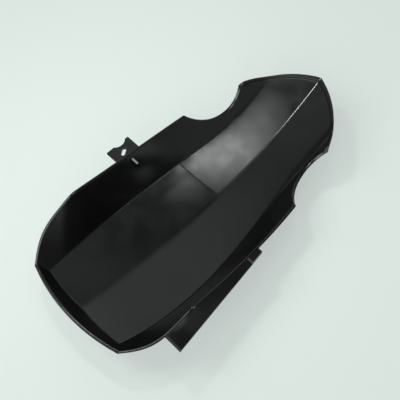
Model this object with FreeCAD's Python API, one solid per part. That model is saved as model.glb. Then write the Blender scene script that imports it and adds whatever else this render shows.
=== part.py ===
import FreeCAD, Part
import math
import os

# Rear hugger of a scooter: one moulded shell, lying on its outer side with the hollow up.
# Millimetres. X runs along the tyre towards the pointed end, Y across it, Z up out of the hollow.
# While it is built, x = 0 is the lowest point of the keel's inner face and y = 0 the mirror plane.

wall = 2.2

# Keel: the centre fold of the roof, an arc that follows the tyre.
keel_radius = 381.0
keel_fold_wide = 60.0
keel_fold_narrow = 3.0

# Creases between the roof and the side walls.
hip_x = -45.0
crease_half_hip = 61.0
crease_half_wide = 51.5
crease_half_narrow = 48.0
crease_wide_x = -135.0
crease_narrow_x = 140.0
crease_fold_wide = 2.0
crease_fold_narrow = 30.0

# How far the creases stand above the keel.
rise_wide = 3.5
rise_narrow = 13.0
rise_full_x = 60.0

# Turn of each roof facet between the keel and the crease, in degrees: the facets are slightly hollow.
wide_curl_angle = 2.0
narrow_curl_angle = 12.0

# Lean of the side walls, in degrees from level.
hip_lean_angle = 65.5
wide_lean_angle = 43.0
narrow_lean_angle = 43.0
lean_hip_x = -65.0
lean_wide_x = -140.0

# Rim, as seen from the side.
rim_low_x = -143.0
rim_low_z = 38.5
rim_rise_x = -110.0
rim_rise_z = 47.6
rim_hip_x = -73.0
rim_hip_z = 61.0
rim_hip_round = 25.0
rim_mid_x = 0.0
rim_mid_z = 50.6

# Half-round cut-outs in both walls, from the rim down to their lowest point and up to the shoulder.
cutout_start_x = 76.0
cutout_start_z = 48.3
cutout_low_x = 104.0
cutout_low_z = 35.4

# Pointed end.
shoulder_x = 144.0
shoulder_z = 52.0
shoulder_half = 62.0
tip_x = 207.5
end_bow = 10.0
bead_width = 4.0
bead_height = 1.4

# Flared lip at the wide end.
lip_base_x = -139.5
lip_base_bow = 4.5
lip_base_half = 51.5
lip_base_z = 28.0
lip_top_x = -149.8
lip_top_bow = 8.5
lip_top_half = 57.0

# Level flanges on the outside of the walls.
flange_z = 50.0
flange_end_x = 15.0
tab_length = 29.5
tab_reach = 17.0
tab_thickness = 3.0
tab_corner = 0.8
tab_dip_radius = 10.0
tab_dip_depth = 4.0
tab_dip_offset = 2.8
slot_length = 9.6
slot_width = 4.2
slot_angle = 35.0
slot_reach = 5.5
slot_offset = -1.1
fin_start_x = -104.5
fin_taper = 12.0
fin_thickness = 2.5
fin_chamfer = 2.0
fin_drop = 0.3
fin_root = 0.55
fin_sections = 9
ear_length = 15.4
ear_step = 3.0
ear_chamfer = 1.6

# Lug on the inner face of the wall below the tab.
lug_thickness = 2.4
lug_x = 0.8
lug_top_z = 47.5
lug_height = 10.0
lug_reach = 10.5

# Mould marks on the inner face.
seam_keel_x = 49.0
seam_crease_x = 43.5
seam_inset = 2.0
seam_width = 0.8
seam_depth = 0.4
gate_x = 34.5
gate_y = 3.0
gate_radius = 1.8
gate_height = 0.8

# Range of the lofted sections, past the trimmed ends.
loft_start_x = -172.0
loft_end_x = 224.0
loft_sections = 12
loft_top_z = 92.0
far = 400.0


def ease(t):
    t = min(max(t, 0.0), 1.0)
    return 0.5 - 0.5 * math.cos(math.pi * t)


def between(low, high, t):
    return low + (high - low) * t


def vec(x, y, z):
    return FreeCAD.Vector(x, y, z)


def keel_height(x):
    return keel_radius - math.sqrt(keel_radius ** 2 - x ** 2)


def crease_half(x):
    if x < hip_x:
        t = (hip_x - x) / (hip_x - crease_wide_x)
        return between(crease_half_hip, crease_half_wide, t * t)
    t = (x - hip_x) / (crease_narrow_x - hip_x)
    return between(crease_half_hip, crease_half_narrow, ease(t))


def crease_rise(x):
    t = (x - crease_wide_x) / (rise_full_x - crease_wide_x)
    return between(rise_wide, rise_narrow, ease(t))


def wall_lean(x):
    if x < lean_hip_x:
        t = (lean_hip_x - x) / (lean_hip_x - lean_wide_x)
        return math.radians(between(hip_lean_angle, wide_lean_angle, ease(t)))
    t = (x - lean_hip_x) / (crease_narrow_x - lean_hip_x)
    return math.radians(between(hip_lean_angle, narrow_lean_angle, ease(t)))


def along(x):
    return ease((x - crease_wide_x) / (crease_narrow_x - crease_wide_x))


def roof_slope(x):
    return math.atan2(crease_rise(x), crease_half(x))


def roof_curl(x):
    # How far the facet's slope is off its chord at the keel and at the crease.
    return math.radians(between(wide_curl_angle, narrow_curl_angle, along(x)) / 2.0)


def roof_sag(x):
    # Depth of the hollow at the middle of the facet, under the chord.
    return crease_half(x) / math.cos(roof_slope(x)) * math.tan(roof_curl(x) / 2.0) / 2.0


def roof_point(x, y):
    t = abs(y) / crease_half(x)
    hollow = 4.0 * t * (1.0 - t) * roof_sag(x) / math.cos(roof_slope(x))
    return vec(x, y, keel_height(x) + abs(y) * math.tan(roof_slope(x)) - hollow)


def crease_corner(x, out):
    # The corner of roof and wall, both moved outwards by out.
    roof = roof_slope(x)
    lean = wall_lean(x)
    keel = keel_height(x) - out / math.cos(roof)
    y0 = crease_half(x) + out * math.sin(lean)
    z0 = keel_height(x) + crease_rise(x) - out * math.cos(lean)
    y = (z0 - y0 * math.tan(lean) - keel) / (math.tan(roof) - math.tan(lean))
    return y, keel + y * math.tan(roof), keel


def wall_half(x, z, out=0.0):
    # Half width of the wall's face at a height.
    y, corner_z, keel = crease_corner(x, out)
    return y + (z - corner_z) / math.tan(wall_lean(x))


def section(x, out, top):
    roof = roof_slope(x)
    at_keel = roof - roof_curl(x)
    at_crease = roof + roof_curl(x)
    lean = wall_lean(x)
    y, z, keel = crease_corner(x, out)
    fold = between(crease_fold_wide, crease_fold_narrow, along(x)) + out
    bend = (lean - at_crease) / 2.0
    run = fold * math.tan(bend)
    middle = (at_crease + lean) / 2.0
    depth = fold / math.cos(bend) - fold
    fold_keel = between(keel_fold_wide, keel_fold_narrow, along(x)) + out
    run_keel = fold_keel * math.tan(at_keel)
    sag = roof_sag(x)
    half = []
    half.append((wall_half(x, top, out), top))
    half.append((y + run * math.cos(lean), z + run * math.sin(lean)))
    half.append((y - depth * math.sin(middle), z + depth * math.cos(middle)))
    half.append((y - run * math.cos(at_crease), z - run * math.sin(at_crease)))
    half.append((y / 2.0 + sag * math.sin(roof), (keel + z) / 2.0 - sag * math.cos(roof)))
    half.append((run_keel * math.cos(at_keel), keel + run_keel * math.sin(at_keel)))
    left = [vec(x, a, b) for a, b in half]
    right = [vec(x, -a, b) for a, b in half]
    bottom = vec(x, 0, keel + fold_keel / math.cos(at_keel) - fold_keel)
    edges = []
    edges.append(Part.makeLine(left[0], left[1]))
    edges.append(Part.Arc(left[1], left[2], left[3]).toShape())
    edges.append(Part.Arc(left[3], left[4], left[5]).toShape())
    edges.append(Part.Arc(left[5], bottom, right[5]).toShape())
    edges.append(Part.Arc(right[5], right[4], right[3]).toShape())
    edges.append(Part.Arc(right[3], right[2], right[1]).toShape())
    edges.append(Part.makeLine(right[1], right[0]))
    edges.append(Part.makeLine(right[0], left[0]))
    return Part.Wire(edges)


def hull(out, top):
    step = (loft_end_x - loft_start_x) / (loft_sections - 1)
    wires = [section(loft_start_x + i * step, out, top) for i in range(loft_sections)]
    return Part.makeLoft(wires, True, False)


def lip_outline(z, out):
    # Everything beyond the lip's face, cut level at one height.
    t = (z - lip_base_z) / (rim_low_z - lip_base_z)
    middle = between(lip_base_x, lip_top_x, t) - out
    half = between(lip_base_half, lip_top_half, t)
    bow = between(lip_base_bow, lip_top_bow, t)
    radius = (half ** 2 + bow ** 2) / (2.0 * bow)
    reach = min(2.0 * half, 0.9 * radius)
    end_x = middle + radius - math.sqrt(radius ** 2 - reach ** 2)
    arc = Part.Arc(vec(end_x, reach, z), vec(middle, 0, z), vec(end_x, -reach, z)).toShape()
    corners = [vec(end_x, -reach, z), vec(-far, -reach, z), vec(-far, reach, z), vec(end_x, reach, z)]
    lines = [Part.makeLine(a, b) for a, b in zip(corners, corners[1:])]
    return Part.Wire([arc] + lines)


def beyond_lip(out):
    low = lip_base_z - 2.0 * wall
    high = rim_low_z + 2.0 * wall
    return Part.makeLoft([lip_outline(low, out), lip_outline(high, out)], True, True)


def cutout_arc(end):
    # From the level bottom of the cut-out up to one of its ends.
    dx = end.x - cutout_low_x
    dz = end.z - cutout_low_z
    radius = (dx ** 2 + dz ** 2) / (2.0 * dz)
    half_turn = math.atan2(dx, radius - dz) / 2.0
    low = vec(cutout_low_x, 0, cutout_low_z)
    middle = low + vec(radius * math.sin(half_turn), 0, radius - radius * math.cos(half_turn))
    return Part.Arc(low, middle, end).toShape()


def rim_arcs():
    # The rim from the wide end up to the hip, and from the hip down to the cut-out.
    rim_hip = vec(rim_hip_x, 0, rim_hip_z)
    start = vec(cutout_start_x, 0, cutout_start_z)
    rise = Part.Arc(vec(rim_low_x, 0, rim_low_z), vec(rim_rise_x, 0, rim_rise_z), rim_hip)
    fall = Part.Arc(rim_hip, vec(rim_mid_x, 0, rim_mid_z), start)
    return [rise.toShape(), fall.toShape()]


def rim_height(x):
    rise, fall = rim_arcs()
    circle = rise.Curve if x < rim_hip_x else fall.Curve
    side = math.copysign(1.0, rim_mid_z - circle.Center.z)
    return circle.Center.z + side * math.sqrt(circle.Radius ** 2 - (x - circle.Center.x) ** 2)


def above_rim():
    # Side view of all that is cut away above the rim and in the cut-outs.
    start = vec(cutout_start_x, 0, cutout_start_z)
    shoulder = vec(shoulder_x, 0, shoulder_z)
    rim_low = vec(rim_low_x, 0, rim_low_z)
    rim_hip = vec(rim_hip_x, 0, rim_hip_z)
    edges = []
    edges.append(Part.makeLine(vec(-far, 0, rim_low_z), rim_low))
    edges += rim_arcs()
    edges.append(cutout_arc(start))
    edges.append(cutout_arc(shoulder))
    edges.append(Part.makeLine(shoulder, vec(shoulder_x, 0, far)))
    edges.append(Part.makeLine(vec(shoulder_x, 0, far), vec(-far, 0, far)))
    edges.append(Part.makeLine(vec(-far, 0, far), vec(-far, 0, rim_low_z)))
    face = Part.Face(Part.Wire(edges))
    face.translate(vec(0, -far, 0))
    block = face.extrude(vec(0, 2.0 * far, 0))
    hip = [e for e in block.Edges if e.Length > 1.9 * far and (e.CenterOfMass - rim_hip).Length < wall]
    return block.makeFillet(rim_hip_round, hip)


def beyond_end(inset):
    # Plan view of all that lies outside the pointed end, moved back by inset.
    left = vec(shoulder_x, shoulder_half, -far)
    right = vec(shoulder_x, -shoulder_half, -far)
    tip = vec(tip_x, 0, -far)
    chord = tip - left
    out = vec(-chord.y, chord.x, 0).normalize()
    middle = (left + tip) * 0.5 + out * end_bow
    mirrored = vec(middle.x, -middle.y, middle.z)
    corners = [right, vec(shoulder_x, -far, -far), vec(far, -far, -far), vec(far, far, -far)]
    corners += [vec(shoulder_x, far, -far), left]
    edges = [Part.Arc(left, middle, tip).toShape(), Part.Arc(tip, mirrored, right).toShape()]
    edges += [Part.makeLine(a, b) for a, b in zip(corners, corners[1:])]
    block = Part.Face(Part.Wire(edges)).extrude(vec(0, 0, 2.0 * far))
    block.translate(vec(-inset, 0, 0))
    return block


def flange_half():
    # Half width over the tab and over the fin's wide end.
    return wall_half(0.0, flange_z, wall) + tab_reach


def slot_cutter():
    flat = slot_length - slot_width
    low = flange_z - 2.0 * tab_thickness
    high = 4.0 * tab_thickness
    bar = Part.makeBox(flat, slot_width, high, vec(-flat / 2.0, -slot_width / 2.0, low))
    for end in (-flat / 2.0, flat / 2.0):
        bar = bar.fuse(Part.makeCylinder(slot_width / 2.0, high, vec(end, 0, low)))
    bar.rotate(vec(0, 0, 0), vec(0, 0, 1), slot_angle)
    tab_middle = flange_end_x - tab_length / 2.0
    bar.translate(vec(tab_middle + slot_offset, flange_half() - tab_reach + slot_reach, 0))
    return bar


def tab():
    root = wall_half(0.0, flange_z) - wall
    start = flange_end_x - tab_length
    width = flange_half() - root
    plate = Part.makeBox(tab_length, width, tab_thickness, vec(start, root, flange_z - tab_thickness))
    upright = [e for e in plate.Edges if abs(e.Length - tab_thickness) < tab_corner]
    outer = [e for e in upright if e.CenterOfMass.y > root + width / 2.0]
    plate = plate.makeFillet(tab_corner, outer)
    dip_x = start + tab_length / 2.0 + tab_dip_offset
    dip_y = flange_half() + tab_dip_radius - tab_dip_depth
    low = flange_z - 2.0 * tab_thickness
    dip = Part.makeCylinder(tab_dip_radius, 4.0 * tab_thickness, vec(dip_x, dip_y, low))
    return plate.cut(dip).cut(slot_cutter())


def fin_edge(x):
    # Half width at the straight outer edge of the fin.
    t = (x - fin_start_x) / (flange_end_x - fin_start_x)
    return flange_half() - fin_taper * t


def fin_section(x, lowered):
    # From inside the wall, level across its rim, then down to the outer edge.
    top = rim_height(x) - fin_drop
    foot = wall_half(x, top, fin_root)
    rail = wall_half(x, top, wall)
    edge = fin_edge(x)
    upper = [(-foot, top - lowered), (-rail, top - lowered), (-edge, flange_z - lowered)]
    lower = [(-edge, flange_z - fin_thickness), (-rail, top - fin_thickness), (-foot, top - fin_thickness)]
    points = [vec(x, y, z) for y, z in upper + lower]
    return Part.makePolygon(points + points[:1])


def ear_section(x, lowered):
    # A raised block at the fin's end, with its root inside the wall.
    top = flange_z + ear_step
    base = flange_z - fin_thickness
    upper = [(-wall_half(x, top, fin_root), top - lowered), (-fin_edge(x), top - lowered)]
    lower = [(-fin_edge(x), base), (-wall_half(x, base, fin_root), base)]
    points = [vec(x, y, z) for y, z in upper + lower]
    return Part.makePolygon(points + points[:1])


def fin():
    first = fin_start_x + fin_chamfer
    last = flange_end_x - ear_length
    step = (last - first) / (fin_sections - 1)
    wires = [fin_section(first + i * step, 0.0) for i in range(fin_sections)]
    plate = Part.makeLoft(wires, True, False)
    tip = Part.makeLoft([fin_section(fin_start_x, fin_chamfer), wires[0]], True, True)
    ramp_end = ear_section(last + ear_chamfer, 0.0)
    ramp = Part.makeLoft([ear_section(last, ear_chamfer), ramp_end], True, True)
    ear = Part.makeLoft([ramp_end, ear_section(flange_end_x, 0.0)], True, True)
    return plate.fuse(tip).fuse(ramp.fuse(ear))


def lug():
    inner = wall_half(lug_x, lug_top_z) - lug_reach
    start = vec(lug_x - lug_thickness / 2.0, inner, lug_top_z - lug_height)
    return Part.makeBox(lug_thickness, lug_reach + wall, lug_height, start)


def seam():
    # A fine groove across the left roof facet, from the keel to the crease.
    end_y = crease_half(seam_crease_x) - seam_inset
    points = []
    for t in (0.0, 0.5, 1.0):
        x = between(seam_keel_x, seam_crease_x, t)
        points.append(roof_point(x, between(seam_inset, end_y, t)) - vec(seam_width / 2.0, 0, seam_depth))
    strip = Part.Arc(*points).toShape().extrude(vec(0, 0, 2.0 * seam_depth))
    return strip.extrude(vec(seam_width, 0, 0))


def gate():
    foot = roof_point(gate_x, gate_y) - vec(0, 0, wall / 2.0)
    return Part.makeCylinder(gate_radius, gate_height + wall / 2.0, foot)


def hugger():
    lip_slope = math.atan2(rim_low_z - lip_base_z, lip_base_x - lip_top_x)
    hollow = hull(0.0, loft_top_z)
    trough = hollow.cut(beyond_lip(0.0))
    outside = hull(wall, loft_top_z - wall).cut(beyond_lip(wall / math.sin(lip_slope)))
    edge = above_rim()
    end = beyond_end(0.0)
    shell = outside.cut(trough).cut(edge)
    bead = hollow.cut(hull(-bead_height, loft_top_z + wall)).common(beyond_end(bead_width)).cut(edge)
    shell = shell.fuse(bead).cut(end)
    flanges = tab().fuse(fin()).cut(hollow)
    inner_lug = lug().common(hollow.fuse(outside))
    body = shell.fuse(flanges).fuse(inner_lug).fuse(gate()).cut(seam())
    return body.removeSplitter()


def set_origin(shape):
    # Origin below the middle of the part, on the mirror plane.
    box = shape.optimalBoundingBox(False, False)
    shape.translate(vec(-(box.XMin + box.XMax) / 2.0, 0, -box.ZMin))
    return shape


os.makedirs("parts", exist_ok=True)
part = set_origin(hugger())
part.exportStep("parts/hugger.step")
box = part.optimalBoundingBox(False, False)
print("solids", len(part.Solids), "valid", part.isValid(), "volume cm3", round(part.Volume / 1000.0, 1))
print("size", round(box.XLength, 2), round(box.YLength, 2), round(box.ZLength, 2))
print("bounds", [round(v, 2) for v in (box.XMin, box.XMax, box.YMin, box.YMax, box.ZMin, box.ZMax)])
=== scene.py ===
import functools
import math
import bpy
from mathutils import Matrix, Vector


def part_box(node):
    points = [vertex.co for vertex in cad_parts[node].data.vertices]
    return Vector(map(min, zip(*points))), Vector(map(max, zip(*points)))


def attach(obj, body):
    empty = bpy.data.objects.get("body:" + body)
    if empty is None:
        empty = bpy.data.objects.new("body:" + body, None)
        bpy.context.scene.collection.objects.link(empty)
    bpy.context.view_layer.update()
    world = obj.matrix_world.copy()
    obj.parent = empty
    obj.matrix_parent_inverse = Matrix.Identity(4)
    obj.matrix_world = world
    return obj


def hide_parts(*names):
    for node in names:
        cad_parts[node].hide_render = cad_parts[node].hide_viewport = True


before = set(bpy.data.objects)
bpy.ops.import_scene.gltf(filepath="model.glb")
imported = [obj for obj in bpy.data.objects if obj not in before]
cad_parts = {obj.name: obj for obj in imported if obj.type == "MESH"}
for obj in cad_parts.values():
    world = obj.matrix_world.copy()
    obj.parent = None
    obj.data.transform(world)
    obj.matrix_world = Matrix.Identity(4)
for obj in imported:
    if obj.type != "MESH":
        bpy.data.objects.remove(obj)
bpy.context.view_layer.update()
scene = bpy.context.scene
scene.view_settings.view_transform = "Standard"
mmPerMetre = 1000.0
print("frame loaded")


# shader helpers: a wire is a socket that takes part in sums, a sheet makes the nodes
class Wire:
    def __init__(self, sheet, socket):
        self.sheet = sheet
        self.socket = socket

    def maths(self, operation, first, second):
        return self.sheet.node("ShaderNodeMath", {"operation": operation}, {0: first, 1: second})

    def __add__(self, other):
        return self.maths("ADD", self, other)

    def __radd__(self, other):
        return self.maths("ADD", other, self)

    def __sub__(self, other):
        return self.maths("SUBTRACT", self, other)

    def __rsub__(self, other):
        return self.maths("SUBTRACT", other, self)

    def __mul__(self, other):
        return self.maths("MULTIPLY", self, other)

    def __rmul__(self, other):
        return self.maths("MULTIPLY", other, self)


class Sheet:
    def __init__(self, owner):
        owner.use_nodes = True
        self.tree = owner.node_tree
        self.tree.nodes.clear()

    def node(self, kind, settings, inputs, output=0):
        made = self.tree.nodes.new(kind)
        for name, value in settings.items():
            setattr(made, name, value)
        for name, value in inputs.items():
            socket = made.inputs[name]
            if isinstance(value, Wire):
                self.tree.links.new(value.socket, socket)
            else:
                socket.default_value = value
        return Wire(self, made.outputs[output]) if len(made.outputs) else made


colourMix = {"factor": 0, "low": 6, "high": 7, "result": 2}  # a Mix node's colour sockets go by number


def mixColours(sheet, factor, low, high):
    inputs = {colourMix["factor"]: factor, colourMix["low"]: low, colourMix["high"]: high}
    return sheet.node("ShaderNodeMix", {"data_type": "RGBA"}, inputs, colourMix["result"])


def softStep(sheet, value, low, high):
    return sheet.node("ShaderNodeMapRange", {"interpolation_type": "SMOOTHSTEP"},
                      {"Value": value, "From Min": low, "From Max": high, "To Min": 0.0, "To Max": 1.0})


def lookedAt(sheet):
    # 1 for what the camera sees, also in a reflection or through glass, and 0 for the light it gives
    camera = sheet.node("ShaderNodeLightPath", {}, {}, "Is Camera Ray")
    glossy = sheet.node("ShaderNodeLightPath", {}, {}, "Is Glossy Ray")
    return camera + glossy + sheet.node("ShaderNodeLightPath", {}, {}, "Is Transmission Ray")


# trough: two skins drawn section by section, which roll over the rims and meet there (in mm until placed)
trough = {
    "wall": 2.2, "keelRadius": 381.0, "keelFold": (60.0, 6.5), "curl": (2.0, 12.0),
    "hipX": -45.0, "creaseHip": 61.0, "creaseWide": (-135.0, 51.5), "creaseNarrow": (140.0, 48.0),
    "creaseFold": (2.0, 30.0), "foldPower": 8, "rise": (3.5, 13.0), "riseFullX": 60.0,
    "leanHip": (-65.0, 65.5), "leanWide": (-140.0, 43.0), "leanNarrow": 43.0,
    "rimLow": (-143.0, 38.5), "rimRise": (-110.0, 47.6), "rimHip": (-73.0, 61.0), "rimMid": (0.0, 50.6),
    "hipBlend": 0.55, "hipBlendMost": 20.0,
    "cutStart": (76.0, 48.3), "cutLow": (104.0, 35.4),
    "shoulder": (144.0, 52.0), "shoulderHalf": 62.0, "pastShoulder": 0.9,
    "tipX": 207.5, "endBow": 10.0, "beadWidth": 4.0, "beadHeight": 1.4,
    "beadSteps": [(4.05, 0.06), (3.9, 0.3), (3.78, 0.7), (3.6, 0.94),
                  (3.3, 1.0), (2.2, 1.0), (1.1, 1.0), (0.0, 1.0)],  # way back from the edge, share of height
    "lipBase": (-139.5, 4.5, 51.5, 28.0), "lipTop": (-149.8, 8.5, 57.0),
    "lipSearch": (-165.0, -120.0), "endSearch": (100.0, 212.0), "searchSteps": 50,
    "halfCounts": (4, 14, 8, 7),  # columns in the keel's fold, the facet, the crease and the wall
    "lipRows": 6, "wideRows": 24, "narrowRows": 60, "rowPitch": 2.3, "wideFrom": -112.0, "narrowFrom": 98.0,
    "rimRound": 0.8, "rollSteps": 4, "rollInward": 0.9, "rollOver": 0.45,
    "skinMerge": 0.02, "smoothAngle": 40.0, "normalWeight": 100,
}

# a fine V groove across the left facet, and the sunken stretch behind it
seam = {
    "keelX": 49.0, "creaseX": 43.5, "inset": 2.0, "width": 1.1, "depth": 0.9, "footShare": 0.1, "flare": 1.8,
    "cuts": 7, "rowHalf": 0.15, "leanReach": 25.0, "leanFull": 1.0,
    "sink": 0.35, "sinkReach": 20.0, "sinkRamps": (24.0, 14.0),
    "dip": 1.0, "dipFrom": (-25.0, 10.0), "dipTo": (64.0, 42.0), "dipBand": (19.0, 16.0), "dipPower": 1.5,
}


def limited(t):
    return min(max(t, 0.0), 1.0)


def ease(t):
    return 0.5 - 0.5 * math.cos(math.pi * limited(t))


def between(low, high, t):
    return low + (high - low) * t


def circleThrough(a, b, c):
    d = 2 * (a[0] * (b[1] - c[1]) + b[0] * (c[1] - a[1]) + c[0] * (a[1] - b[1]))
    sa, sb, sc = (p[0] ** 2 + p[1] ** 2 for p in (a, b, c))
    x = (sa * (b[1] - c[1]) + sb * (c[1] - a[1]) + sc * (a[1] - b[1])) / d
    y = (sa * (c[0] - b[0]) + sb * (a[0] - c[0]) + sc * (b[0] - a[0])) / d
    return x, y, math.hypot(a[0] - x, a[1] - y)


def keelHeight(x):
    return trough["keelRadius"] - math.sqrt(trough["keelRadius"] ** 2 - x ** 2)


def alongShare(x):
    wide, narrow = trough["creaseWide"][0], trough["creaseNarrow"][0]
    return ease((x - wide) / (narrow - wide))


def creaseHalf(x):
    hip = trough["hipX"]
    if x < hip:
        wideX, half = trough["creaseWide"]
        return between(trough["creaseHip"], half, ((hip - x) / (hip - wideX)) ** 2)
    narrowX, half = trough["creaseNarrow"]
    return between(trough["creaseHip"], half, ease((x - hip) / (narrowX - hip)))


def creaseRise(x):
    wide = trough["creaseWide"][0]
    return between(*trough["rise"], ease((x - wide) / (trough["riseFullX"] - wide)))


def wallLean(x):
    hipX, hip = trough["leanHip"]
    if x < hipX:
        wideX, wide = trough["leanWide"]
        return math.radians(between(hip, wide, ease((hipX - x) / (hipX - wideX))))
    narrowX = trough["creaseNarrow"][0]
    return math.radians(between(hip, trough["leanNarrow"], ease((x - hipX) / (narrowX - hipX))))


def roofSlope(x):
    return math.atan2(creaseRise(x), creaseHalf(x))


def roofCurl(x):
    return math.radians(between(*trough["curl"], alongShare(x)) / 2)


def roofSag(x):
    return creaseHalf(x) / math.cos(roofSlope(x)) * math.tan(roofCurl(x) / 2) / 2


def creaseCorner(x, out):
    roof, lean = roofSlope(x), wallLean(x)
    keel = keelHeight(x) - out / math.cos(roof)
    y0 = creaseHalf(x) + out * math.sin(lean)
    z0 = keelHeight(x) + creaseRise(x) - out * math.cos(lean)
    y = (z0 - y0 * math.tan(lean) - keel) / (math.tan(roof) - math.tan(lean))
    return y, keel + y * math.tan(roof), keel


def wallHalf(x, z, out):
    y, cornerZ = creaseCorner(x, out)[:2]
    return y + (z - cornerZ) / math.tan(wallLean(x))


def arcHeight(circle, x):
    # height of a circle's lower half
    return circle[1] - math.sqrt(max(circle[2] ** 2 - (x - circle[0]) ** 2, 0.0))


def cutHeight(x, end):
    dx, dz = end[0] - trough["cutLow"][0], end[1] - trough["cutLow"][1]
    radius = (dx ** 2 + dz ** 2) / (2 * dz)
    return trough["cutLow"][1] + radius - math.sqrt(radius ** 2 - (x - trough["cutLow"][0]) ** 2)


riseArc = circleThrough(trough["rimLow"], trough["rimRise"], trough["rimHip"])
midArc = circleThrough(trough["rimHip"], trough["rimMid"], trough["cutStart"])


def rimHeight(x):
    if x <= trough["rimLow"][0]:
        return trough["rimLow"][1]
    if x >= trough["shoulder"][0]:
        return trough["shoulder"][1] + trough["pastShoulder"] * (x - trough["shoulder"][0])
    if x >= trough["cutLow"][0]:
        return cutHeight(x, trough["shoulder"])
    if x >= trough["cutStart"][0]:
        return cutHeight(x, trough["cutStart"])
    rising, falling = arcHeight(riseArc, x), arcHeight(midArc, x)
    if abs(rising - falling) > trough["hipBlendMost"]:
        return min(rising, falling)
    k = trough["hipBlend"]
    return -math.log(math.exp(-k * rising) + math.exp(-k * falling)) / k


def sectionPoint(x, h, out):
    # h counts from the keel (0) to the rim (1); gives y and z on the left side
    counts = trough["halfCounts"]
    total = sum(counts)
    marks = [sum(counts[:i + 1]) / total for i in range(len(counts))]
    roof, lean, curl = roofSlope(x), wallLean(x), roofCurl(x)
    atKeel, atCrease = roof - curl, roof + curl
    y, z, keel = creaseCorner(x, out)
    share = alongShare(x)
    foldKeel = between(*trough["keelFold"], share) + out
    fold = between(*trough["creaseFold"], share ** trough["foldPower"]) + out
    run = fold * math.tan((lean - atCrease) / 2)
    if h <= marks[0]:
        turn = atKeel * h / marks[0]
        return foldKeel * math.sin(turn), keel + foldKeel / math.cos(atKeel) - foldKeel * math.cos(turn)
    head = (foldKeel * math.sin(atKeel), keel + foldKeel * math.tan(atKeel) * math.sin(atKeel))
    foot = (y - run * math.cos(atCrease), z - run * math.sin(atCrease))
    if h <= marks[1]:
        sag = roofSag(x)
        middle = (y / 2 + sag * math.sin(roof), (keel + z) / 2 - sag * math.cos(roof))
        across = between(head[0], foot[0], (h - marks[0]) / (marks[1] - marks[0]))
        return across, arcHeight(circleThrough(head, middle, foot), across)
    if h <= marks[2]:
        turn = between(atCrease, lean, (h - marks[1]) / (marks[2] - marks[1]))
        return (foot[0] + fold * (math.sin(turn) - math.sin(atCrease)),
                foot[1] + fold * (math.cos(atCrease) - math.cos(turn)))
    t = (h - marks[2]) / (marks[3] - marks[2])
    top = rimHeight(x)
    return (between(y + run * math.cos(lean), wallHalf(x, top, out), t),
            between(z + run * math.sin(lean), top, t))


def lipReach(out):
    slope = math.atan2(trough["rimLow"][1] - trough["lipBase"][3], trough["lipBase"][0] - trough["lipTop"][0])
    return out / math.sin(slope)


def lipX(y, z, out):
    baseX, baseBow, baseHalf, baseZ = trough["lipBase"]
    topX, topBow, topHalf = trough["lipTop"]
    t = (z - baseZ) / (trough["rimLow"][1] - baseZ)
    bow, half = between(baseBow, topBow, t), between(baseHalf, topHalf, t)
    radius = (half ** 2 + bow ** 2) / (2 * bow)
    return between(baseX, topX, t) - lipReach(out) + radius - math.sqrt(radius ** 2 - y ** 2)


endLeft = (trough["shoulder"][0], trough["shoulderHalf"])
endChord = math.hypot(trough["tipX"] - endLeft[0], endLeft[1])
endMiddle = ((endLeft[0] + trough["tipX"]) / 2 + trough["endBow"] * endLeft[1] / endChord,
             endLeft[1] / 2 + trough["endBow"] * (trough["tipX"] - endLeft[0]) / endChord)
endArc = circleThrough(endLeft, endMiddle, (trough["tipX"], 0.0))


def endX(y):
    if y >= trough["shoulderHalf"]:
        return trough["shoulder"][0]
    return endArc[0] + math.sqrt(endArc[2] ** 2 - (y - endArc[1]) ** 2)


def solveX(low, high, miss):
    for step in range(trough["searchSteps"]):
        middle = (low + high) / 2
        if miss(middle) > 0:
            high = middle
        else:
            low = middle
    return (low + high) / 2


@functools.cache
def meetLip(h, out):
    return solveX(*trough["lipSearch"], lambda x: x - lipX(*sectionPoint(x, h, out), out))


@functools.cache
def meetEnd(h, out):
    return solveX(*trough["endSearch"], lambda x: x - endX(sectionPoint(x, h, out)[0]))


def seamEnd():
    return creaseHalf(seam["creaseX"]) - seam["inset"]


def seamX(y):
    share = (y - seam["inset"]) / (seamEnd() - seam["inset"])
    return between(seam["keelX"], seam["creaseX"], limited(share))


def seamShift(x, y):
    # rows near the seam lean with it
    away = abs(x - seam["keelX"])
    share = (seam["leanReach"] - away) / (seam["leanReach"] - seam["leanFull"])
    return (seamX(y) - seam["keelX"]) * limited(share)


def sinkDepth(x, y):
    # behind the seam the left facet lies a little lower
    away = seamX(y) - x
    if away < seam["rowHalf"] / 2.0:
        return 0.0
    keelRamp, creaseRamp = seam["sinkRamps"]
    return (seam["sink"] * ease(y / keelRamp) * ease((creaseHalf(x) - y) / creaseRamp)
            * math.exp(-away / seam["sinkReach"]))


def dipDepth(x, y):
    # and dips into the left crease
    (first, start), (last, stop) = seam["dipFrom"], seam["dipTo"]
    along = ease((x - first) / (start - first)) * ease((last - x) / (last - stop))
    inner, outer = seam["dipBand"]
    off = y - creaseHalf(x)
    across = max(0.0, 1.0 + off / inner) ** seam["dipPower"] if off < 0 else 1.0 - ease(off / outer)
    return seam["dip"] * along * across


def roofHeight(x, y):
    t = abs(y) / creaseHalf(x)
    hollow = 4.0 * t * (1.0 - t) * roofSag(x) / math.cos(roofSlope(x))
    return keelHeight(x) + abs(y) * math.tan(roofSlope(x)) - hollow - sinkDepth(x, y) - dipDepth(x, y)


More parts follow.
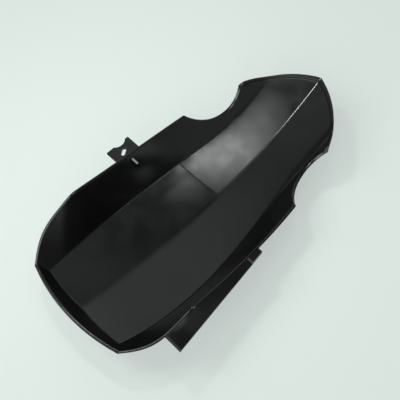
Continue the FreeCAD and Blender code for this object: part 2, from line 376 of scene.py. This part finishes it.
def rowPlaces():
    # what each row of the skins follows: lip, wide end, middle, narrow end or bead
    rows = [("lip", 1 - i / trough["lipRows"]) for i in range(trough["lipRows"])]
    rows += [("wide", i / trough["wideRows"]) for i in range(trough["wideRows"])]
    stops = [trough["wideFrom"], seam["keelX"] - seam["rowHalf"], seam["keelX"] + seam["rowHalf"],
             trough["cutStart"][0], trough["narrowFrom"]]
    for low, high in zip(stops, stops[1:]):
        count = math.ceil((high - low) / trough["rowPitch"])
        rows += [("mid", between(low, high, i / count)) for i in range(count)]
    rows += [("narrow", i / trough["narrowRows"]) for i in range(trough["narrowRows"] + 1)]
    rows += [("bead", step) for step in trough["beadSteps"]]
    return rows


def skinPoint(row, h, side, out):
    kind, t = row
    lift = out
    if kind == "lip":
        x = meetLip(h, out)
        y, z = sectionPoint(x, h, out)
        z = between(z, trough["rimLow"][1], t)
        return lipX(y, z, out), side * y, z
    if kind == "wide":
        x = between(meetLip(h, out), trough["wideFrom"], t)
    elif kind == "mid":
        x = t + seamShift(t, side * sectionPoint(t, h, out)[0])
    elif kind == "narrow":
        x = between(trough["narrowFrom"], meetEnd(h, out) - trough["beadWidth"] - trough["rimRound"], t)
    else:
        back, share = t
        lift = -trough["beadHeight"] * share if out == 0 else out
        x = meetEnd(h, lift) - back
    y, z = sectionPoint(x, h, lift)
    if out == 0 and kind in ("mid", "narrow"):
        z -= sinkDepth(x, side * y) + dipDepth(x, side * y)
    return x, side * y, z


placing = {
    "middleX": trough["tipX"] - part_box("hugger")[1][0] * mmPerMetre,
    "bottom": sectionPoint(0.0, 0.0, trough["wall"])[1],
}


def placed(x, y, z):
    return Vector((x - placing["middleX"], y, z - placing["bottom"])) / mmPerMetre


def unplaced(point):
    return (point.x * mmPerMetre + placing["middleX"], point.y * mmPerMetre,
            point.z * mmPerMetre + placing["bottom"])


# mesh work: small lengths in mm, steps in a rounded edge, and the least normal z of a face that looks up
bench = {"merge": 0.01, "near": 0.01, "easedSteps": 3, "facingUp": 0.5}


def selectOnly(*pieces):
    bpy.ops.object.select_all(action="DESELECT")
    for piece in pieces:
        piece.select_set(True)
    bpy.context.view_layer.objects.active = pieces[-1]


def selectFaces(piece, wanted):
    selectOnly(piece)
    bpy.ops.object.mode_set(mode="EDIT")
    bpy.ops.mesh.select_mode(type="FACE")
    bpy.ops.mesh.select_all(action="DESELECT")
    bpy.ops.object.mode_set(mode="OBJECT")
    for face in piece.data.polygons:
        face.select = wanted(face.center, face.normal)


def tidyFaces(piece, merge=bench["merge"]):
    selectOnly(piece)
    bpy.ops.object.mode_set(mode="EDIT")
    bpy.ops.mesh.select_all(action="SELECT")
    bpy.ops.mesh.remove_doubles(threshold=merge / mmPerMetre)
    bpy.ops.mesh.normals_make_consistent(inside=False)
    bpy.ops.object.mode_set(mode="OBJECT")


def easeEdges(piece, width, angle):
    selectOnly(piece)
    bevel = piece.modifiers.new("easedEdges", "BEVEL")
    bevel.limit_method = "ANGLE"
    bevel.angle_limit = math.radians(angle)
    bevel.width = width / mmPerMetre
    bevel.segments = bench["easedSteps"]
    bevel.use_clamp_overlap = True
    bpy.ops.object.modifier_apply(modifier="easedEdges")


def combine(piece, tool, operation):
    selectOnly(piece)
    step = piece.modifiers.new("combine", "BOOLEAN")
    step.operation = operation
    step.solver = "MANIFOLD"
    step.object = tool
    bpy.ops.object.modifier_apply(modifier="combine")
    bpy.data.objects.remove(tool, do_unlink=True)


def makeSkin(name, out):
    # past its edge each skin rolls over the rim and stops half way to the other skin
    rows = rowPlaces()
    across = 2 * sum(trough["halfCounts"])
    roll = trough["rollSteps"] + 1
    last = len(rows) - 1

    @functools.cache
    def at(r, c, skinOut):
        half = 2.0 * c / across - 1.0
        return placed(*skinPoint(rows[r], abs(half), math.copysign(1.0, half), skinOut))

    def rolled(r, c, step):
        edge = at(r, c, out)
        facing = at(r, c, trough["wall"] - out)
        inward = at(min(max(r, 1), last - 1), min(max(c, 1), across - 1), out) - edge
        over = facing - edge
        if step == roll:
            return (edge + facing) / 2.0
        size = trough["rimRound"] / mmPerMetre
        start = edge + inward.normalized() * min(size, trough["rollInward"] * inward.length)
        end = edge + over.normalized() * min(size, trough["rollOver"] * over.length)
        t = step / trough["rollSteps"]
        return start * (1 - t) ** 2 + edge * 2 * t * (1 - t) + end * t ** 2

    long, broad = last + 2 * roll, across + 2 * roll
    bpy.ops.object.select_all(action="DESELECT")
    bpy.ops.mesh.primitive_grid_add(x_subdivisions=long, y_subdivisions=broad, size=1.0)
    skin = bpy.context.active_object
    skin.name = name
    for vertex in skin.data.vertices:
        row = round((vertex.co.x + 0.5) * long) - roll
        column = round((vertex.co.y + 0.5) * broad) - roll
        r, c = min(max(row, 0), last), min(max(column, 0), across)
        if r in (0, last) or c in (0, across):
            vertex.co = rolled(r, c, max(abs(row - r), abs(column - c)))
        else:
            vertex.co = at(r, c, out)
    return skin


def makeTrough():
    inner = makeSkin("moulding", 0.0)
    outer = makeSkin("outerSkin", trough["wall"])
    selectOnly(outer)
    bpy.ops.object.mode_set(mode="EDIT")
    bpy.ops.mesh.select_all(action="SELECT")
    bpy.ops.mesh.flip_normals()
    bpy.ops.object.mode_set(mode="OBJECT")
    selectOnly(outer, inner)
    bpy.ops.object.join()
    tidyFaces(inner, trough["skinMerge"])
    print("trough made, faces:", len(inner.data.polygons))
    return inner


def makeSlab(name, cuts, shape):
    # a cube cut up evenly, each point moved to its place by shape(u, v, w)
    bpy.ops.object.select_all(action="DESELECT")
    bpy.ops.mesh.primitive_cube_add(size=1.0)
    slab = bpy.context.active_object
    slab.name = name
    if cuts:
        bpy.ops.object.mode_set(mode="EDIT")
        bpy.ops.mesh.subdivide(number_cuts=cuts)
        bpy.ops.object.mode_set(mode="OBJECT")
    for vertex in slab.data.vertices:
        vertex.co = placed(*shape(*(value + 0.5 for value in vertex.co)))
    tidyFaces(slab)
    return slab


def makePin(name, sides, radius, low, high, centre, stretch=0.0, turn=0.0):
    # an upright pin, drawn out to a slot where stretch is set
    bpy.ops.object.select_all(action="DESELECT")
    bpy.ops.mesh.primitive_cylinder_add(vertices=sides, radius=1.0, depth=1.0,
                                        rotation=(0, 0, math.pi / sides))
    bpy.ops.object.transform_apply(location=False, rotation=True, scale=False)
    pin = bpy.context.active_object
    pin.name = name
    way = math.radians(turn)
    for vertex in pin.data.vertices:
        x = vertex.co.x * radius + math.copysign(stretch / 2.0, vertex.co.x)
        y = vertex.co.y * radius
        z = between(low, high, vertex.co.z + 0.5)
        vertex.co = placed(centre[0] + x * math.cos(way) - y * math.sin(way),
                           centre[1] + x * math.sin(way) + y * math.cos(way), z)
    return pin


# tab outside the left wall; the flange is the level that tab and fin share
flange = {"z": 50.0, "endX": 15.0, "tabReach": 17.0, "sink": 0.15}
tab = {
    "length": 29.5, "thickness": 3.0, "corner": 0.8, "cornerSteps": 4,
    "dipRadius": 10.0, "dipDepth": 4.0, "dipOffset": 2.8, "dipSides": 96,
    "slot": (9.6, 4.2), "slotAngle": 35.0, "slotReach": 5.5, "slotOffset": -1.1, "slotSides": 48,
    "edge": 0.35, "edgeAngle": 40.0,
}


def flangeHalf():
    return wallHalf(0.0, flange["z"], trough["wall"]) + flange["tabReach"]


def makeTab():
    start = flange["endX"] - tab["length"]

    def shape(u, v, w):
        x = between(start, flange["endX"], u)
        z = between(flange["z"] - tab["thickness"], flange["z"], w)
        return x, between(wallHalf(x, z, flange["sink"]), flangeHalf(), v), z

    piece = makeSlab("tab", 0, shape)
    selectOnly(piece)
    outerY = placed(0, flangeHalf() - bench["near"], 0).y
    for edge in piece.data.edges:
        ends = [piece.data.vertices[i].co for i in edge.vertices]
        upright = abs(ends[0].z - ends[1].z) > tab["thickness"] / 2.0 / mmPerMetre
        edge.select = upright and all(end.y > outerY for end in ends)
    bpy.ops.object.mode_set(mode="EDIT")
    bpy.ops.mesh.select_mode(type="EDGE")
    bpy.ops.mesh.bevel(offset=tab["corner"] / mmPerMetre, segments=tab["cornerSteps"])
    bpy.ops.object.mode_set(mode="OBJECT")
    middle = start + tab["length"] / 2.0
    low, high = flange["z"] - 2.0 * tab["thickness"], flange["z"] + tab["thickness"]
    dipPlace = (middle + tab["dipOffset"], flangeHalf() + tab["dipRadius"] - tab["dipDepth"])
    combine(piece, makePin("dip", tab["dipSides"], tab["dipRadius"], low, high, dipPlace), "DIFFERENCE")
    slotPlace = (middle + tab["slotOffset"], flangeHalf() - flange["tabReach"] + tab["slotReach"])
    length, width = tab["slot"]
    slot = makePin("slot", tab["slotSides"], width / 2.0, low, high, slotPlace,
                   length - width, tab["slotAngle"])
    combine(piece, slot, "DIFFERENCE")
    easeEdges(piece, tab["edge"], tab["edgeAngle"])
    print("tab made")
    return piece


# fin outside the right wall, with its raised ear
fin = {"startX": -104.5, "taper": 12.0, "thickness": 2.5, "chamfer": 2.0, "layerGap": 0.5, "drop": 0.3,
       "root": 0.55, "columns": 40, "strips": 7, "edge": 0.3, "edgeAngle": 30.0}
ear = {"length": 15.4, "step": 3.0, "chamfer": 1.6, "columns": 5}


def finEdge(x):
    return flangeHalf() - fin["taper"] * (x - fin["startX"]) / (flange["endX"] - fin["startX"])


def finPoint(x, step):
    # steps count from the outer edge to the rail outside the wall; the last one is the root
    top = rimHeight(x) - fin["drop"]
    if step == fin["strips"]:
        return x, -wallHalf(x, top, fin["root"]), top
    t = step / (fin["strips"] - 1)
    return x, -between(finEdge(x), wallHalf(x, top, trough["wall"]), t), between(flange["z"], top, t)


def makeFin():
    earX = flange["endX"] - ear["length"]
    first = fin["startX"] + fin["chamfer"]
    places = [fin["startX"]]
    places += [between(first, earX, i / fin["columns"]) for i in range(fin["columns"] + 1)]
    places += [between(earX + ear["chamfer"], flange["endX"], i / ear["columns"])
               for i in range(ear["columns"] + 1)]
    spans = len(places) - 1
    bpy.ops.object.select_all(action="DESELECT")
    bpy.ops.mesh.primitive_grid_add(x_subdivisions=spans, y_subdivisions=fin["strips"], size=1.0)
    piece = bpy.context.active_object
    piece.name = "fin"
    for vertex in piece.data.vertices:
        x = places[round((vertex.co.x + 0.5) * spans)]
        vertex.co = placed(*finPoint(x, round((vertex.co.y + 0.5) * fin["strips"])))
    selectOnly(piece)
    bpy.ops.object.mode_set(mode="EDIT")
    bpy.ops.mesh.select_all(action="SELECT")
    bpy.ops.mesh.extrude_region_move(TRANSFORM_OT_translate={"value": (0, 0, -fin["thickness"] / mmPerMetre)})
    bpy.ops.object.mode_set(mode="OBJECT")
    tidyFaces(piece)
    # chamfer the wide end
    for vertex in piece.data.vertices:
        x, y, z = unplaced(vertex.co)
        if x < first - bench["near"] and z > flange["z"] - fin["thickness"] + fin["layerGap"]:
            vertex.co = placed(x, y, z - fin["chamfer"])
    # raise the ear, with a ramp up to it
    earStart = placed(earX, 0, 0).x
    selectFaces(piece, lambda centre, normal: normal.z > bench["facingUp"] and centre.x > earStart)
    bpy.ops.object.mode_set(mode="EDIT")
    bpy.ops.mesh.extrude_region_move(TRANSFORM_OT_translate={"value": (0, 0, ear["step"] / mmPerMetre)})
    bpy.ops.object.mode_set(mode="OBJECT")
    for vertex in piece.data.vertices:
        if vertex.select:
            x, y, z = unplaced(vertex.co)
            z = flange["z"] + ear["step"]
            if abs(y + wallHalf(x, rimHeight(x) - fin["drop"], fin["root"])) < bench["near"]:
                y = -wallHalf(x, z, fin["root"])
            vertex.co = placed(x, y, z - ear["chamfer"] if x < earX + bench["near"] else z)
    tidyFaces(piece)
    easeEdges(piece, fin["edge"], fin["edgeAngle"])
    print("fin made")
    return piece


# lug inside the left wall, under the tab
lug = {"thickness": 2.4, "x": 0.8, "topZ": 47.5, "height": 10.0, "reach": 10.5, "rootOut": 1.4, "cuts": 3,
       "edge": 1.0, "edgeAngle": 40.0}


def makeLug():
    def shape(u, v, w):
        x = lug["x"] + lug["thickness"] * (u - 0.5)
        z = between(lug["topZ"] - lug["height"], lug["topZ"], w)
        inner = wallHalf(lug["x"], lug["topZ"], 0.0) - lug["reach"]
        return x, between(inner, wallHalf(x, z, lug["rootOut"]), v), z

    piece = makeSlab("lug", lug["cuts"], shape)
    easeEdges(piece, lug["edge"], lug["edgeAngle"])
    print("lug made")
    return piece


# round gate mark beside the keel
gate = {"x": 34.5, "y": 3.0, "radius": 1.8, "height": 1.2, "sides": 32, "edge": 0.3, "edgeAngle": 40.0}


def makeGate():
    foot = roofHeight(gate["x"], gate["y"])
    low, high = foot - trough["wall"] / 2.0, foot + gate["height"]
    pin = makePin("gate", gate["sides"], gate["radius"], low, high, (gate["x"], gate["y"]))
    easeEdges(pin, gate["edge"], gate["edgeAngle"])
    print("gate mark made")
    return pin


def makeSeam():
    # the tool that cuts the groove
    def shape(u, v, w):
        y = between(seam["inset"], seamEnd(), v)
        x = between(seam["keelX"], seam["creaseX"], v)
        z = roofHeight(x, y) + 2.0 * seam["depth"] * (w - 0.5)
        return x + seam["width"] * (u - 0.5) * min(1.0, seam["footShare"] + seam["flare"] * w), y, z

    return makeSlab("seam", seam["cuts"], shape)


# satin black plastic, lengths in metres
plastic = {
    "dark": (0.0047, 0.0051, 0.0047, 1.0),
    "pale": (0.0065, 0.0069, 0.0065, 1.0),
    "cloudSize": 38.0, "cloudDetail": 5.0,
    "roughness": 0.17, "roughnessSpread": 0.055, "mottleEdge": (0.36, 0.64),
    "grainSize": 900.0, "grainDetail": 2.0, "grainHeight": 0.00001,
    "waveSize": 30.0, "waveDetail": 1.0, "waveHeight": 0.0002,
    # a painted highlight on the lug's upper edge, not a real mark on the plastic
    "paintedGlint": (0.24, 0.25, 0.24, 1.0),
    "glintTip": (0.013, 0.012), "glintRoot": (0.0016, 0.0024),  # where the painted glint is gone and where it is full
    "glintSide": (0.0016, 0.0008), "glintDown": (0.0016, 0.0006),
}


def lugPaintedGlint(sheet, place):
    # painted highlight: the upper edge of the lug inside the wall is painted pale where a glint shows
    x, y, z = (sheet.node("ShaderNodeSeparateXYZ", {}, {"Vector": place}, axis) for axis in "XYZ")
    root = placed(lug["x"], wallHalf(lug["x"], lug["topZ"], 0.0), lug["topZ"])
    tipOff, tipOn = plastic["glintTip"]
    rootOff, rootOn = plastic["glintRoot"]
    sideOff, sideOn = plastic["glintSide"]
    downOff, downOn = plastic["glintDown"]
    along = (softStep(sheet, y, root.y - tipOff, root.y - tipOn)
             * softStep(sheet, y, root.y - rootOff, root.y - rootOn))
    across = (softStep(sheet, x, root.x - sideOff, root.x - sideOn)
              * softStep(sheet, x, root.x + sideOff, root.x + sideOn))
    return along * across * softStep(sheet, z, root.z - downOff, root.z - downOn)


def noiseOf(sheet, place, name):
    inputs = {"Vector": place, "Scale": plastic[name + "Size"], "Detail": plastic[name + "Detail"]}
    return sheet.node("ShaderNodeTexNoise", {}, inputs, "Fac")


def bumpOf(sheet, place, name, under):
    inputs = {"Strength": 1.0, "Distance": plastic[name + "Height"], "Height": noiseOf(sheet, place, name)}
    return sheet.node("ShaderNodeBump", {}, {**inputs, **under})


def makePlastic():
    material = bpy.data.materials.new("satinBlackPlastic")
    sheet = Sheet(material)
    place = sheet.node("ShaderNodeTexCoord", {}, {}, "Object")
    cloud = noiseOf(sheet, place, "cloud")
    colour = mixColours(sheet, cloud, plastic["dark"], plastic["pale"])
    # paint the lug's upper edge pale as a painted highlight
    colour = mixColours(sheet, lugPaintedGlint(sheet, place), colour, plastic["paintedGlint"])
    mottle = softStep(sheet, cloud, *plastic["mottleEdge"])
    roughness = plastic["roughness"] + (mottle - 0.5) * plastic["roughnessSpread"]
    wave = bumpOf(sheet, place, "wave", {})
    grain = bumpOf(sheet, place, "grain", {"Normal": wave})
    inputs = {"Base Color": colour, "Roughness": roughness, "Normal": grain}
    shader = sheet.node("ShaderNodeBsdfPrincipled", {}, inputs)
    sheet.node("ShaderNodeOutputMaterial", {}, {"Surface": shader})
    return material


def makeMoulding():
    piece = makeTrough()
    for made in (makeTab(), makeFin(), makeLug(), makeGate()):
        combine(piece, made, "UNION")
    combine(piece, makeSeam(), "DIFFERENCE")
    selectOnly(piece)
    bpy.ops.object.shade_smooth_by_angle(angle=math.radians(trough["smoothAngle"]))
    weigh = piece.modifiers.new("weighNormals", "WEIGHTED_NORMAL")
    weigh.keep_sharp = True
    weigh.weight = trough["normalWeight"]
    bpy.ops.object.modifier_apply(modifier="weighNormals")
    piece.data.materials.clear()
    piece.data.materials.append(makePlastic())
    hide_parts("hugger")
    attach(piece, "root")
    print("moulding made, triangles:", sum(len(face.vertices) - 2 for face in piece.data.polygons))


makeMoulding()

# floor: a pale sheet that keeps the shadow, lifted to its plain level for what looks at it
ground = {"size": 40.0, "colour": (0.80, 0.86, 0.83, 1.0), "roughness": 0.8,
          "glow": (0.80, 0.88, 0.84, 1.0), "glowLevel": 1.22, "glowShare": 0.4}


def makeFloor():
    bpy.ops.object.select_all(action="DESELECT")
    bpy.ops.mesh.primitive_plane_add(size=ground["size"], location=(0, 0, 0))
    floor = bpy.context.active_object
    floor.name = "floor"
    material = bpy.data.materials.new("paleFloor")
    sheet = Sheet(material)
    sheen = sheet.node("ShaderNodeBsdfPrincipled", {},
                       {"Base Color": ground["colour"], "Roughness": ground["roughness"]})
    glow = sheet.node("ShaderNodeEmission", {}, {"Color": ground["glow"], "Strength": ground["glowLevel"]})
    share = lookedAt(sheet) * ground["glowShare"]
    mixed = sheet.node("ShaderNodeMixShader", {}, {0: share, 1: sheen, 2: glow})
    sheet.node("ShaderNodeOutputMaterial", {}, {"Surface": mixed})
    floor.data.materials.append(material)
    print("floor made")


makeFloor()

# room: dim air with soft panes, and a pale band low down that only shows where it is looked at
air = {
    "tint": (0.955, 1.0, 0.985, 1.0), "level": 0.12, "bandEdge": (0.16, 0.08), "bandLevel": 0.80,
    "panes": {
        "right": {"from": (0.45, 0.62, 0.64), "edge": (0.87, 0.985), "level": 0.55},
        "far": {"from": (-0.30, 0.62, 0.73), "edge": (0.90, 0.99), "level": 0.28},
        "behind": {"from": (-0.85, -0.25, 0.45), "edge": (0.74, 0.95), "level": 1.8},
        "left": {"from": (-0.20, -0.85, 0.50), "edge": (0.70, 0.95), "level": 0.22},
        "ahead": {"from": (0.80, 0.58, 0.15), "edge": (0.80, 0.96), "level": 0.5},
    },
}


def makeRoom():
    world = bpy.data.worlds.new("studioAir")
    scene.world = world
    sheet = Sheet(world)
    way = sheet.node("ShaderNodeTexCoord", {}, {}, "Generated")
    level = air["level"]
    for pane in air["panes"].values():
        middle = Vector(pane["from"]).normalized()
        facing = sheet.node("ShaderNodeVectorMath", {"operation": "DOT_PRODUCT"},
                            {0: way, 1: middle}, "Value")
        level = softStep(sheet, facing, *pane["edge"]) * pane["level"] + level
    height = sheet.node("ShaderNodeSeparateXYZ", {}, {"Vector": way}, "Z")
    band = softStep(sheet, height, *air["bandEdge"]) * lookedAt(sheet)
    level = level + band * (air["bandLevel"] - level)
    room = sheet.node("ShaderNodeBackground", {}, {"Color": air["tint"], "Strength": level})
    sheet.node("ShaderNodeOutputWorld", {}, {"Surface": room})
    print("room made")


# lamps: a small one overhead for the left facet, one for the ridge and a soft key
lamps = {
    "overhead": {"place": (0.034, -0.025, 0.512), "towards": (0.068, 0.025, 0.02),
                 "size": (0.045, 0.09), "power": 0.114},
    "ridge": {"place": (-0.026, 0.159, 0.488), "towards": (0.15, 0.0, 0.05),
              "size": (0.05, 0.06), "power": 0.38},
    "key": {"place": (-0.28, 0.22, 0.52), "towards": (0.0, 0.0, 0.02),
            "size": (0.26, 0.26), "power": 0.85},
}


def makeLamps():
    for name, lamp in lamps.items():
        place = Vector(lamp["place"])
        back = (place - Vector(lamp["towards"])).normalized()
        across = (Vector((1, 0, 0)) - back * back.x).normalized()
        bpy.ops.object.light_add(type="AREA", location=place)
        light = bpy.context.active_object
        light.name = name
        light.rotation_euler = Matrix((across, back.cross(across), back)).transposed().to_euler()
        light.data.shape = "ELLIPSE"
        light.data.size, light.data.size_y = lamp["size"]
        light.data.energy = lamp["power"]
        light.data.color = air["tint"][:3]
    print("lamps made")


makeLamps()
makeRoom()

# camera
lens = {
    "place": (-0.2075, -0.2123, 0.5735),
    "right": (0.705, -0.709, -0.016),
    "up": (0.629, 0.615, 0.476),
    "length": 54.0, "sensor": 36.0, "nearest": 0.01,
}


def makeCamera():
    right = Vector(lens["right"]).normalized()
    up = Vector(lens["up"])
    up = (up - right * up.dot(right)).normalized()
    back = right.cross(up)
    bpy.ops.object.camera_add()
    camera = bpy.context.active_object
    turn = Matrix((right, up, back)).transposed().to_4x4()
    camera.matrix_world = Matrix.Translation(Vector(lens["place"])) @ turn
    camera.data.sensor_width = lens["sensor"]
    camera.data.lens = lens["length"]
    camera.data.clip_start = lens["nearest"]
    scene.camera = camera
    print("camera made")


makeCamera()
